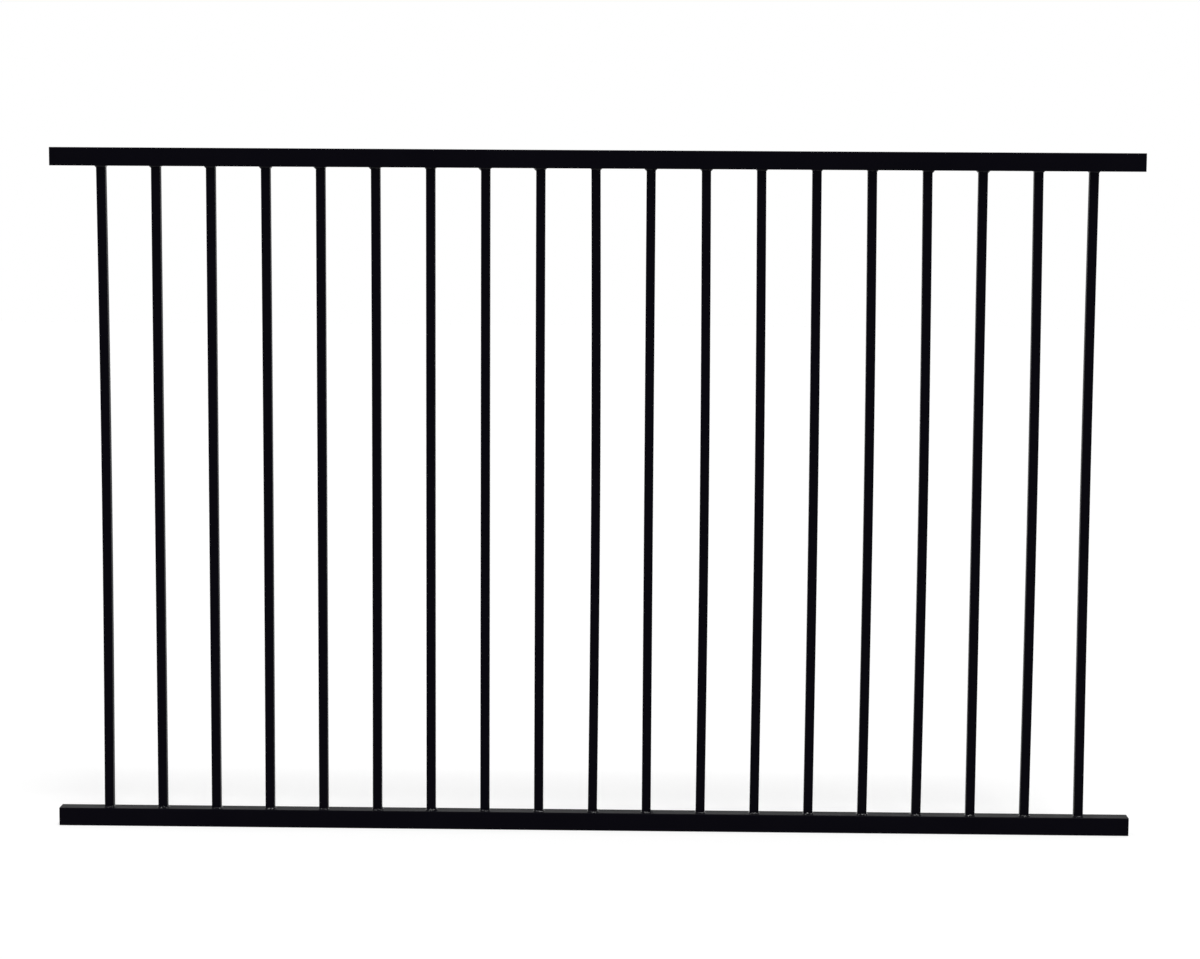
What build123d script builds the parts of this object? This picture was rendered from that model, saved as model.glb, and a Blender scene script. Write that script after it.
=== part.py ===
# Welded steel fence panel: a row of square-tube pickets butted between two square-tube rails.
# Millimetres. X runs along the rails from their left ends, Y from the front of the panel to its back,
# and Z up from the underside of the bottom rail. Y is zero in the middle of the tubes.

import os

from build123d import *

# Overall size
panel_width = 2380.0
panel_height = 1505.0

# Rails: square tube, sawn off square and left open at the ends
rail_size = 40.0
rail_wall = 1.5
rail_corner_radius = 2.5

# Pickets: smaller square tube, closed at both ends by the rails
picket_count = 19
picket_size = 20.0
picket_wall = 1.2
picket_corner_radius = 2.0

# Fillet welds: a crowned bead all round each end of a picket
weld_leg = 4.0
weld_crown = 0.4

# Sizes and places that follow from those above.
# The clear gap at the ends of the rails is the same as between the pickets.
picket_length = panel_height - 2 * rail_size
clear_gap = (panel_width - picket_count * picket_size) / (picket_count + 1)
picket_pitch = clear_gap + picket_size
picket_places = [clear_gap + picket_size / 2 + n * picket_pitch for n in range(picket_count)]
bottom_rail_top = rail_size
top_rail_underside = rail_size + picket_length


def tube_section(size, wall, corner_radius):
    """Section of a square tube, with rounded corners of even wall thickness."""
    outline = RectangleRounded(size, size, corner_radius)
    bore = RectangleRounded(size - 2 * wall, size - 2 * wall, corner_radius - wall)
    return outline - bore


def rail(underside):
    """Rail of the panel's whole width, with its underside at that height."""
    start = Plane(origin=(0, 0, underside + rail_size / 2), x_dir=(0, 1, 0), z_dir=(1, 0, 0))
    return extrude(start * tube_section(rail_size, rail_wall, rail_corner_radius), panel_width)


def picket(place):
    """Picket that stands on the bottom rail at that distance from the rails' left ends."""
    foot = Plane(origin=(place, 0, bottom_rail_top))
    return extrude(foot * tube_section(picket_size, picket_wall, picket_corner_radius), picket_length)


def weld_bead():
    """Bead round the foot of a picket that stands at the origin on a level rail.

    Its crowned section is swept from the middle of the picket's front over the right side to the
    middle of the back, on a path whose slants touch the rounded corners. The left half is the same.
    """
    half = picket_size / 2
    corner_cut = picket_corner_radius * (2 - 2**0.5)
    path = Polyline(
        (0, -half),
        (half - corner_cut, -half),
        (half, corner_cut - half),
        (half, half - corner_cut),
        (half - corner_cut, half),
        (0, half),
    )
    middle = weld_leg / 2 + weld_crown / 2**0.5
    section = make_face(
        [
            Line((0, 0), (weld_leg, 0)),
            ThreePointArc((weld_leg, 0), (middle, middle), (0, weld_leg)),
            Line((0, weld_leg), (0, 0)),
        ]
    )
    start = Plane(origin=(0, -half, 0), x_dir=(0, -1, 0), z_dir=(-1, 0, 0))
    right = sweep(start * section, path=path, transition=Transition.RIGHT)
    return right + Rot(0, 0, 180) * right


def welds(height, turn):
    """The beads of all pickets on a rail's face at that height; turn is 180 on a face that looks down."""
    bead = weld_bead()
    return Compound([Pos(place, 0, height) * Rot(turn, 0, 0) * bead for place in picket_places])


nodes = {
    "bottom_rail": rail(0),
    "top_rail": rail(top_rail_underside),
    "bottom_welds": welds(bottom_rail_top, 0),
    "top_welds": welds(top_rail_underside, 180),
}
for number, place in enumerate(picket_places, start=1):
    nodes[f"picket_{number:02d}"] = picket(place)

os.makedirs("parts", exist_ok=True)
for name, shape in nodes.items():
    export_step(shape, f"parts/{name}.step")
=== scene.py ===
import math
import random

import bmesh
import bpy
from mathutils import Euler, Matrix, Vector, noise


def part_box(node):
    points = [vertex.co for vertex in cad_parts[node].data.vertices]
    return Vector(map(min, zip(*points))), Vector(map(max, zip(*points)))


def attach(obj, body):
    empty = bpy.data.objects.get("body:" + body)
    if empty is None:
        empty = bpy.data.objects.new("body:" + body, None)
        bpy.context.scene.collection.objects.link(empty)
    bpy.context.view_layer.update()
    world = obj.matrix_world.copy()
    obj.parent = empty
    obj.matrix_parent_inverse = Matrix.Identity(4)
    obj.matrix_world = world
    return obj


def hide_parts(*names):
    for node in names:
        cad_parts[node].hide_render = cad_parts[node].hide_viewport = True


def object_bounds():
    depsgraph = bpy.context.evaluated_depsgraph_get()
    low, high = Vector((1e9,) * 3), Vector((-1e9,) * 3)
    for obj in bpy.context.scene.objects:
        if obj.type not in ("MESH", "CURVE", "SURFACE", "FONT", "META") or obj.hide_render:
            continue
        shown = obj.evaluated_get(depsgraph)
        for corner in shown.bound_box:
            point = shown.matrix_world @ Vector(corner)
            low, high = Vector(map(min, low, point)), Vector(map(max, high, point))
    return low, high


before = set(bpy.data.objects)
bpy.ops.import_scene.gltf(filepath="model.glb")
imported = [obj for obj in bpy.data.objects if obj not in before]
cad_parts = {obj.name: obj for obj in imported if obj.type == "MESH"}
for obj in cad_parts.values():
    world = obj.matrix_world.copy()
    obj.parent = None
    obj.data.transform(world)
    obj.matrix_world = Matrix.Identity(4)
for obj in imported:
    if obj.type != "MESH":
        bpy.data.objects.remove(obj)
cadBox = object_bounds()
scene = bpy.context.scene
print("frame loaded,", len(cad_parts), "CAD nodes")


# camera where the photo was taken from; the image is 1200 x 959
cameraView = {
    "place": (1.3135, -6.1165, 1.4679),
    "lens": 83.862,   # mm on a 36 mm wide sensor
    "down": 6.372,    # degrees
    "left": 1.039,
    "roll": 0.340,
}


def placeCamera(view):
    data = bpy.data.cameras.new("panelCamera")
    data.sensor_fit = "HORIZONTAL"
    data.sensor_width = 36
    data.lens = view["lens"]
    data.clip_end = 200
    camera = bpy.data.objects.new("panelCamera", data)
    scene.collection.objects.link(camera)
    turn = Euler((math.radians(90 - view["down"]), 0, math.radians(view["left"]))).to_matrix()
    turn = turn @ Matrix.Rotation(math.radians(view["roll"]), 3, "Z")
    camera.matrix_world = Matrix.Translation(view["place"]) @ turn.to_4x4()
    scene.camera = camera


placeCamera(cameraView)
print("camera placed")


# one output socket of a node tree: sums and products of wires add Math nodes,
# any other node comes from node(kind, settings, sockets)
class Wire:
    def __init__(self, tree, socket=None):
        self.tree = tree
        self.socket = socket

    def node(self, kind, settings=None, sockets=None, out=0):
        made = self.tree.nodes.new(kind)
        for key, value in (settings or {}).items():
            setattr(made, key, value)
        for key, value in (sockets or {}).items():
            if isinstance(value, Wire):
                self.tree.links.new(value.socket, made.inputs[key])
            else:
                made.inputs[key].default_value = value
        return Wire(self.tree, made.outputs[out] if len(made.outputs) else None)

    def also(self, out):   # another output of the same node
        return Wire(self.tree, self.socket.node.outputs[out])

    def math(self, operation, first, second=0.0):
        return self.node("ShaderNodeMath", {"operation": operation}, {0: first, 1: second})

    def __add__(self, other):
        return self.math("ADD", self, other)

    def __radd__(self, other):
        return self.math("ADD", other, self)

    def __sub__(self, other):
        return self.math("SUBTRACT", self, other)

    def __rsub__(self, other):
        return self.math("SUBTRACT", other, self)

    def __mul__(self, other):
        return self.math("MULTIPLY", self, other)

    def __rmul__(self, other):
        return self.math("MULTIPLY", other, self)

    def __abs__(self):
        return self.math("ABSOLUTE", self)

    def larger(self, other):
        return self.math("MAXIMUM", self, other)

    def ease(self, low, high):   # 0 below low, 1 above high, smooth between
        return self.node(
            "ShaderNodeMapRange",
            {"interpolation_type": "SMOOTHSTEP"},
            {"Value": self, "From Min": low, "From Max": high},
            "Result",
        )

    def blend(self, first, second):   # colours, mixed by this wire
        return self.node("ShaderNodeMix", {"data_type": "RGBA"}, {0: self, 6: first, 7: second}, 2)

    def cloud(self, scale, detail=2.0, roughness=0.5):   # noise on this position
        return self.node(
            "ShaderNodeTexNoise",
            None,
            {"Vector": self, "Scale": scale, "Detail": detail, "Roughness": roughness},
        )


def newMaterial(name):
    material = bpy.data.materials.new(name)
    material.use_nodes = True
    material.node_tree.nodes.clear()
    return material, Wire(material.node_tree)


def paint(red, green, blue):
    return (red, green, blue, 1.0)


def grey(level):
    return paint(level, level, level)


# satin black powder coat
coatLook = {
    "black": paint(0.0015, 0.0012, 0.0032),
    "worn": paint(0.0025, 0.0021, 0.0044),
    "dust": paint(0.070, 0.066, 0.058),   # on faces that look up
    "dustCover": 0.07,
    "dustRough": 0.9,
    "blotchScale": 38.0,     # breaks the dust up
    "roughness": 0.38,
    "specular": 0.022,       # low, as the coat mirrors a white room
    "filmScale": 7.0,        # slow change of the film's gloss
    "filmRough": 0.12,
    "grainScale": 1500.0,
    "grainRough": 0.08,
    "cornerShine": 0.05,     # how much smoother the tubes' corners are
    "peelSize": 0.0017,      # orange peel
    "peelHeight": 0.000045,
    "waveSize": 0.040,       # slow waves of the rolled tube
    "waveHeight": 0.00006,
    "sawScale": 420.0,       # saw lines on the cut ends of the rails
    "sawDepth": 0.00005,
    "lumpScale": 1400.0,     # uneven film over the beads
    "lumpHeight": 0.0,
}
weldLook = {**coatLook, "roughness": 0.14, "specular": 0.09, "dustCover": 0.02, "lumpHeight": 0.000016}


def powderCoat(name, look, cutEnds=False):
    material, start = newMaterial(name)
    place = start.node("ShaderNodeTexCoord", out="Object")
    normal = start.node("ShaderNodeNewGeometry", out="Normal")
    nx = start.node("ShaderNodeSeparateXYZ", None, {0: normal}, "X")
    ny, nz = nx.also("Y"), nx.also("Z")
    flat = abs(nx).larger(abs(ny)).larger(abs(nz))
    corner = 1 - flat.ease(0.80, 0.99)
    film = place.cloud(look["filmScale"], 3.0)
    grain = place.cloud(look["grainScale"], 2.0)
    blotch = place.cloud(look["blotchScale"], 4.0, 0.6)
    dust = nz.ease(0.70, 0.98) * blotch.ease(0.30, 0.72) * look["dustCover"]
    tone = film * 0.5 + grain * 0.5
    colour = tone.ease(0.30, 0.75).blend(look["black"], look["worn"])
    colour = dust.blend(colour, look["dust"])
    roughness = look["roughness"] + (film - 0.5) * look["filmRough"] + (grain - 0.5) * look["grainRough"]
    roughness = roughness - corner * look["cornerShine"] + dust * look["dustRough"]
    peel = place.cloud(1 / look["peelSize"], 1.5, 0.4)
    wave = place.cloud(1 / look["waveSize"], 1.0)
    height = peel * look["peelHeight"] + wave * look["waveHeight"]
    if cutEnds:
        lines = place.node(
            "ShaderNodeTexWave",
            {"bands_direction": "Z"},
            {
                "Vector": place,
                "Scale": look["sawScale"],
                "Distortion": 2.5,
                "Detail": 2.0,
                "Detail Scale": 0.6,
            },
            "Fac",
        )
        height = height + lines * abs(nx).ease(0.96, 0.999) * look["sawDepth"]
    if look["lumpHeight"]:
        height = height + place.cloud(look["lumpScale"], 2.0) * look["lumpHeight"]
    bump = start.node("ShaderNodeBump", None, {"Strength": 1.0, "Distance": 1.0, "Height": height})
    shader = start.node(
        "ShaderNodeBsdfPrincipled",
        None,
        {
            "Base Color": colour,
            "Roughness": roughness,
            "Normal": bump,
            "Specular IOR Level": look["specular"],
        },
    )
    start.node("ShaderNodeOutputMaterial", None, {"Surface": shader})
    return material


# inside of the rails: overspray at the open ends, bare zinc-coated steel further in
insideLook = {
    "steel": paint(0.30, 0.31, 0.32),
    "steelDark": paint(0.17, 0.175, 0.18),
    "black": paint(0.004, 0.004, 0.0046),
    "sprayStart": 0.02,
    "sprayEnd": 0.11,
    "sprayFray": 0.06,       # how far its edge wanders
    "sprayShine": 0.06,
    "hazeScale": 60.0,
    "hazeRough": 0.2,
    "spangleScale": 160.0,
    "gritScale": 900.0,
    "gritHeight": 0.00003,
    "roughness": 0.52,
    "metal": 0.9,
}


def tubeInside(name, look, length):
    material, start = newMaterial(name)
    place = start.node("ShaderNodeTexCoord", out="Object")
    along = start.node("ShaderNodeSeparateXYZ", None, {0: place}, "X")
    depth = length / 2 - abs(along - length / 2)
    haze = place.cloud(look["hazeScale"], 4.0, 0.6)
    spray = 1 - (depth + (haze - 0.5) * look["sprayFray"]).ease(look["sprayStart"], look["sprayEnd"])
    spangle = start.node(
        "ShaderNodeTexVoronoi", None, {"Vector": place, "Scale": look["spangleScale"]}, "Color"
    )
    spangle = start.node("ShaderNodeSeparateColor", None, {0: spangle}, "Red")
    steel = spangle.blend(look["steelDark"], look["steel"])
    colour = spray.blend(steel, look["black"])
    grit = place.cloud(look["gritScale"], 2.0) * look["gritHeight"]
    bump = start.node("ShaderNodeBump", None, {"Strength": 1.0, "Distance": 1.0, "Height": grit})
    shader = start.node(
        "ShaderNodeBsdfPrincipled",
        None,
        {
            "Base Color": colour,
            "Metallic": (1 - spray) * look["metal"],
            "Roughness": look["roughness"] + (haze - 0.5) * look["hazeRough"] - spray * look["sprayShine"],
            "Normal": bump,
        },
    )
    start.node("ShaderNodeOutputMaterial", None, {"Surface": shader})
    return material


railLow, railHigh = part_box("top_rail")
railCoat = powderCoat("railCoat", coatLook, cutEnds=True)
railInside = tubeInside("railInside", insideLook, railHigh.x - railLow.x)
picketCoat = powderCoat("picketCoat", coatLook)
weldCoat = powderCoat("weldCoat", weldLook)
print("materials made")


def finishPiece(name, bm, materials, nodes, smooth=40, weighted=True):
    mesh = bpy.data.meshes.new(name)
    bm.to_mesh(mesh)
    bm.free()
    for polygon in mesh.polygons:
        polygon.use_smooth = True
    mesh.set_sharp_from_angle(angle=math.radians(smooth))
    for material in materials:
        mesh.materials.append(material)
    piece = bpy.data.objects.new(name, mesh)
    scene.collection.objects.link(piece)
    if weighted:   # keeps the flats of a tube flat beside its round corners
        evened = piece.modifiers.new("evenShade", "WEIGHTED_NORMAL")
        evened.weight = 100
        evened.keep_sharp = True
    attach(piece, "root")
    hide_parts(*nodes)


def longEdges(bm, length):   # those that run along a tube
    return [edge for edge in bm.edges if abs(edge.verts[0].co.z - edge.verts[1].co.z) > length / 2]


def makeTube(size, length, shape):
    # square tube standing on the origin, open at both ends
    bm = bmesh.new()
    bmesh.ops.create_grid(bm, x_segments=1, y_segments=1, size=size / 2)
    bmesh.ops.bevel(
        bm, geom=bm.verts[:], offset=shape["corner"], affect="VERTICES",
        segments=shape["cornerSteps"], profile=0.5, material=-1,
    )
    wall = bmesh.ops.inset_region(
        bm, faces=bm.faces[:], thickness=shape["wall"], use_boundary=True, use_even_offset=True
    )["faces"]
    bore = [face for face in bm.faces if face not in wall]
    bmesh.ops.delete(bm, geom=bore, context="FACES_ONLY")
    raised = bmesh.ops.extrude_face_region(bm, geom=bm.faces[:])["geom"]
    raised = [item for item in raised if isinstance(item, bmesh.types.BMVert)]
    bmesh.ops.translate(bm, vec=(0, 0, length), verts=raised)
    bmesh.ops.recalc_face_normals(bm, faces=bm.faces[:])
    long = longEdges(bm, length)
    # sharp edges of the cut ends
    rims = [edge for edge in bm.edges if edge not in long and edge.calc_face_angle(0) > 1]
    bmesh.ops.bevel(
        bm, geom=rims, offset=shape["deburr"], affect="EDGES",
        segments=shape["deburrSteps"], profile=0.5, material=-1,
    )
    bmesh.ops.subdivide_edges(bm, edges=longEdges(bm, length), cuts=shape["rings"], use_grid_fill=True)
    return bm


# rails: sawn off square, open at the ends
railShape = {
    "wall": 0.0015,
    "corner": 0.0025,
    "cornerSteps": 8,
    "deburr": 0.00025,   # breaks the edges of the cut ends
    "deburrSteps": 2,
    "rings": 7,
}


def makeRail(name, node):
    low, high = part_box(node)
    size = high.y - low.y
    middle = (low + high) / 2
    bm = makeTube(size, high.x - low.x, railShape)
    boreEdge = size / 2 - railShape["wall"] * 0.9   # a little way into the wall from the bore
    for face in bm.faces:   # the bore gets the second material
        spot = face.calc_center_median()
        if max(abs(spot.x), abs(spot.y)) < boreEdge and abs(face.normal.z) < 0.5:
            face.material_index = 1
    lay = Matrix.Translation((low.x, middle.y, middle.z)) @ Matrix.Rotation(math.radians(90), 4, "Y")
    bmesh.ops.transform(bm, matrix=lay, verts=bm.verts[:])
    finishPiece(name, bm, [railCoat, railInside], [node])


makeRail("bottomRail", "bottom_rail")
makeRail("topRail", "top_rail")
print("rails made")


# pickets: some bow a little sideways between their welded ends
picketShape = {
    "wall": 0.0012,
    "corner": 0.0020,
    "cornerSteps": 6,
    "deburr": 0.0002,
    "deburrSteps": 2,
    "rings": 23,
    "bow": {   # to the right, by picket counted from the left
        1: 0.0029, 4: 0.0009, 6: 0.0008, 10: 0.0033, 12: 0.0027, 13: 0.0031,
        14: 0.0023, 15: 0.0033, 16: 0.0035, 17: 0.0006, 18: 0.0029, 19: -0.0018,
    },
}


def makePicket(number):
    node = f"picket_{number:02d}"
    low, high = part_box(node)
    length = high.z - low.z
    bm = makeTube(high.x - low.x, length, picketShape)
    bow = picketShape["bow"].get(number, 0.0)
    for vert in bm.verts:
        vert.co.x += bow * math.sin(math.pi * min(max(vert.co.z / length, 0), 1))
    bmesh.ops.translate(bm, vec=((low.x + high.x) / 2, (low.y + high.y) / 2, low.z), verts=bm.verts[:])
    finishPiece(f"picket{number:02d}", bm, [picketCoat], [node])


picketCount = sum(name.startswith("picket_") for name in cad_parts)
for number in range(1, picketCount + 1):
    makePicket(number)
print(picketCount, "pickets made")


# fillet welds: a hand-laid bead all round each end of a picket
beadShape = {
    "leg": 0.0040,
    "crown": 0.0002,
    "crownCuts": 8,
    "step": 0.00035,
    "cornerSteps": 8,
    "cornerSize": 0.78,       # the bead thins where it turns a corner
    "cornerReach": 0.13,      # share of the way from one side's middle to the next
    "ripplePitch": 0.0014,
    "rippleHeight": 0.016,    # share of the bead's size
    "rippleLag": 0.0011,      # how far a ripple's middle trails its ends
    "rippleBase": 0.6,        # about the mean of a ripple, so that the bead keeps its size
    "rippleJitter": 0.35,     # share of a ripple
    "jitterLength": 0.0024,
    "wander": 0.21,           # share of the bead's size, by slow waves and quicker ones
    "slowLength": 0.0050,
    "quickLength": 0.0018,
    "quickShare": 0.7,
    "lump": 0.26,             # where the weld was stopped and started again
    "lumpReach": 0.0013,
    "stops": 2,
    "pitDepth": 0.010,
    "pitLength": 0.0011,
    "mergeWithin": 2e-6,      # joins the last ring to the first
    # legs in mm, picket by picket from the left
    "bottomLeft": (
        1.6, 2.2, 1.6, 1.8, 1.8, 2.6, 2.4, 1.8, 1.8, 2.2,
        1.8, 1.8, 2.6, 1.8, 3.2, 3.6, 1.8, 2.6, 3.2,
    ),
    "bottomRight": (
        3.6, 4.6, 3.6, 3.6, 1.8, 5.0, 4.2, 2.8, 3.6, 4.4,
        3.8, 2.2, 2.8, 2.8, 3.4, 2.2, 2.2, 2.8, 1.6,
    ),
    "topLeft": (
        3.2, 4.5, 4.5, 5.2, 5.0, 4.6, 3.4, 5.0, 4.6, 1.8,
        4.6, 3.8, 1.8, 2.0, 1.8, 2.0, 4.6, 1.6, 2.0,
    ),
    "topRight": (
        1.6, 2.0, 1.6, 4.2, 2.0, 2.0, 3.0, 2.6, 2.6, 3.4,
        3.4, 4.0, 3.4, 3.0, 3.4, 4.6, 4.0, 3.4, 3.0,
    ),
    "frontBack": (2.8, 4.0),  # drawn between these two
}


def around(spot, angle):   # turn about an upright line
    centre = Matrix.Translation(spot)
    return centre @ Matrix.Rotation(angle, 4, "Z") @ centre.inverted()


def makeBead(half, corner, legs, seed):
    # bead round a picket that stands at the origin; legs on its front, right, back and left
    shape = beadShape
    leg = shape["leg"]
    chance = random.Random(seed)
    shift = chance.uniform(0, 50)
    bm = bmesh.new()
    root = Vector((0, -half, 0))
    corners = [bm.verts.new(root + Vector(step)) for step in ((0, 0, 0), (0, -leg, 0), (0, 0, leg))]
    section = [bm.edges.new((corners[n - 1], corners[n])) for n in range(3)]
    cuts = bmesh.ops.subdivide_edges(bm, edges=[section[2]], cuts=shape["crownCuts"])["geom_inner"]
    for vert in cuts:
        if isinstance(vert, bmesh.types.BMVert):
            share = vert.co.z / leg
            vert.co += Vector((0, -1, 1)) * shape["crown"] * math.sin(math.pi * share) / math.sqrt(2)
    # walk the section round from the middle of the front
    quarter = math.pi / 2
    turnAt = half - corner
    steps = round(turnAt / shape["step"])
    bends = shape["cornerSteps"]
    walk = []
    for side in range(4):
        here, ahead = [Matrix.Rotation(quarter * (side + n), 3, "Z") for n in range(2)]
        move = Vector((turnAt / steps, 0, 0))
        bend = around(here @ Vector((turnAt, -turnAt, 0)), quarter / bends)
        bendLength = (corner + leg / 3) * quarter / bends   # at the middle of the section
        walk += [(Matrix.Translation(here @ move), move.x)] * steps
        walk += [(bend, bendLength)] * bends
        walk += [(Matrix.Translation(ahead @ move), move.x)] * steps
    edges = bm.edges[:]
    rings = [(root.copy(), bm.verts[:], 0.0)]
    run = 0.0
    for move, length in walk:
        fresh = bmesh.ops.extrude_edge_only(bm, edges=edges)["geom"]
        verts = [item for item in fresh if isinstance(item, bmesh.types.BMVert)]
        edges = [item for item in fresh if isinstance(item, bmesh.types.BMEdge)]
        bmesh.ops.transform(bm, matrix=move, verts=verts)
        root = move @ root
        run += length
        rings.append((root.copy(), verts, run))

    def rough(spot, wave, layer):   # noise that meets itself after one round
        turn, reach = spot / run * math.tau, run / wave / math.tau
        return noise.noise((math.cos(turn) * reach, math.sin(turn) * reach, layer + shift))

    def wander(spot, layer):
        quick = rough(spot, shape["quickLength"], layer + 9)
        return 1 + shape["wander"] * (rough(spot, shape["slowLength"], layer) + shape["quickShare"] * quick)

    # each ring grows or shrinks about its root: its leg, lumps, wander, crescent ripples and pits
    ripples = round(run / shape["ripplePitch"])
    stops = [chance.uniform(0, run) for n in range(shape["stops"])]
    for count, (root, verts, spot) in enumerate(rings):
        side, share = divmod(4 * count / len(walk), 1)
        ease = min(max(share * 2 - 0.5, 0), 1)
        ease = ease * ease * (3 - 2 * ease)
        size = legs[int(side) % 4] * (1 - ease) + legs[int(side + 1) % 4] * ease
        size *= 1 - (1 - shape["cornerSize"]) * math.exp(-(((share - 0.5) / shape["cornerReach"]) ** 2))
        for stop in stops:
            away = (spot - stop + run / 2) % run - run / 2
            size *= 1 + shape["lump"] * math.exp(-((away / shape["lumpReach"]) ** 2))
        wide, tall = wander(spot, 0), wander(spot, 5)
        jitter = shape["rippleJitter"] * rough(spot, shape["jitterLength"], 20)
        for vert in verts:
            arm = vert.co - root
            lift = math.atan2(arm.z, math.hypot(arm.x, arm.y)) / quarter
            phase = (spot + shape["rippleLag"] * (1 - (2 * lift - 1) ** 2)) * ripples / run + jitter
            ripple = (abs(math.sin(math.pi * phase)) - shape["rippleBase"]) * shape["rippleHeight"]
            pits = rough(spot, shape["pitLength"], 30 + lift * 3) * shape["pitDepth"]
            arm = Vector((arm.x * wide, arm.y * wide, arm.z * tall))
            vert.co = root + arm * (size / leg) * (1 + ripple + pits)
    bmesh.ops.remove_doubles(bm, verts=bm.verts[:], dist=shape["mergeWithin"])
    bmesh.ops.recalc_face_normals(bm, faces=bm.faces[:])
    return bm


def makeWelds(name, node, end):
    joined = bmesh.new()
    loose = bpy.data.meshes.new("looseBead")
    chance = random.Random(name)
    for number in range(1, picketCount + 1):
        low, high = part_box(f"picket_{number:02d}")
        half = (high.x - low.x) / 2
        left, right = [beadShape[end + side][number - 1] / 1000 for side in ("Left", "Right")]
        front, back = [chance.uniform(*beadShape["frontBack"]) / 1000 for side in range(2)]
        bead = makeBead(half, picketShape["corner"], [front, right, back, left], f"{end} {number}")
        lay = Matrix.Translation((low.x + half, (low.y + high.y) / 2, low.z if end == "bottom" else high.z))
        if end == "top":   # hangs under the top rail
            lay = lay @ Matrix.Rotation(math.pi, 4, "X")
        bmesh.ops.transform(bead, matrix=lay, verts=bead.verts[:])
        bead.to_mesh(loose)
        bead.free()
        joined.from_mesh(loose)
    bpy.data.meshes.remove(loose)
    print(name, len(joined.faces), "faces")
    finishPiece(name, joined, [weldCoat], [node], smooth=60, weighted=False)


makeWelds("bottomWelds", "bottom_welds", "bottom")
makeWelds("topWelds", "top_welds", "top")


# white studio
studio = {
    "fill": 0.40,            # soft light from all sides
    "sun": 2.0,
    "sunSpread": 12,         # degrees
    "sunFrom": (0.12, -0.30, 1.0),
    "floorWhite": 0.80,      # as it lights the panel
    "floorSeen": 0.50,       # as the camera and the coat see it, with the glow on top
    "floorGlow": 0.52,
    "floorSize": 40,
    "floorDrop": 0.0002,     # keeps the floor off the rail's underside
    "boxPower": 9,           # watts
    "boxSize": (0.8, 3.0),
    "boxFrom": (3.8, -0.6, 0.6),
}
middle = (cadBox[0] + cadBox[1]) / 2


def shownRays(start):   # what the camera sees, straight, mirrored or through glass
    seen = start.node("ShaderNodeLightPath", out="Is Camera Ray")
    return seen.larger(seen.also("Is Glossy Ray")).larger(seen.also("Is Transmission Ray"))


def lightWorld():
    world = bpy.data.worlds.new("studio")
    scene.world = world
    world.use_nodes = True
    world.node_tree.nodes.clear()
    start = Wire(world.node_tree)
    shown = shownRays(start)
    level = shown + (1 - shown) * studio["fill"]
    sky = start.node("ShaderNodeBackground", None, {"Color": grey(1), "Strength": level})
    start.node("ShaderNodeOutputWorld", None, {"Surface": sky})


def addLamp(name, kind, place, target, **values):
    data = bpy.data.lights.new(name, kind)
    for key, value in values.items():
        setattr(data, key, value)
    lamp = bpy.data.objects.new(name, data)
    scene.collection.objects.link(lamp)
    lamp.location = place
    lamp.rotation_euler = (target - place).to_track_quat("-Z", "Y").to_euler()
    lamp.visible_camera = False


def layFloor():
    bm = bmesh.new()
    bmesh.ops.create_grid(bm, x_segments=1, y_segments=1, size=studio["floorSize"] / 2)
    bmesh.ops.translate(bm, vec=(middle.x, 0, cadBox[0].z - studio["floorDrop"]), verts=bm.verts[:])
    mesh = bpy.data.meshes.new("studioFloor")
    bm.to_mesh(mesh)
    bm.free()
    material, start = newMaterial("studioFloor")
    shown = shownRays(start)
    white = shown.blend(grey(studio["floorWhite"]), grey(studio["floorSeen"]))
    white = start.node("ShaderNodeBsdfDiffuse", None, {"Color": white})
    glow = start.node("ShaderNodeEmission", None, {"Color": grey(1), "Strength": shown * studio["floorGlow"]})
    both = start.node("ShaderNodeAddShader", None, {0: white, 1: glow})
    start.node("ShaderNodeOutputMaterial", None, {"Surface": both})
    mesh.materials.append(material)
    floor = bpy.data.objects.new("studioFloor", mesh)
    scene.collection.objects.link(floor)


lightWorld()
layFloor()
addLamp(
    "ceilingSun", "SUN", middle + Vector(studio["sunFrom"]), middle,
    energy=studio["sun"], angle=math.radians(studio["sunSpread"]),
)
boxWide, boxTall = studio["boxSize"]
for name, side in (("endBoxLeft", -1), ("endBoxRight", 1)):   # tall soft boxes off both ends
    away, toBack, up = studio["boxFrom"]
    addLamp(
        name, "AREA", middle + Vector((side * away, toBack, up)), middle,
        energy=studio["boxPower"], shape="RECTANGLE", size=boxWide, size_y=boxTall,
    )
scene.view_settings.view_transform = "Standard"
print("studio lit")
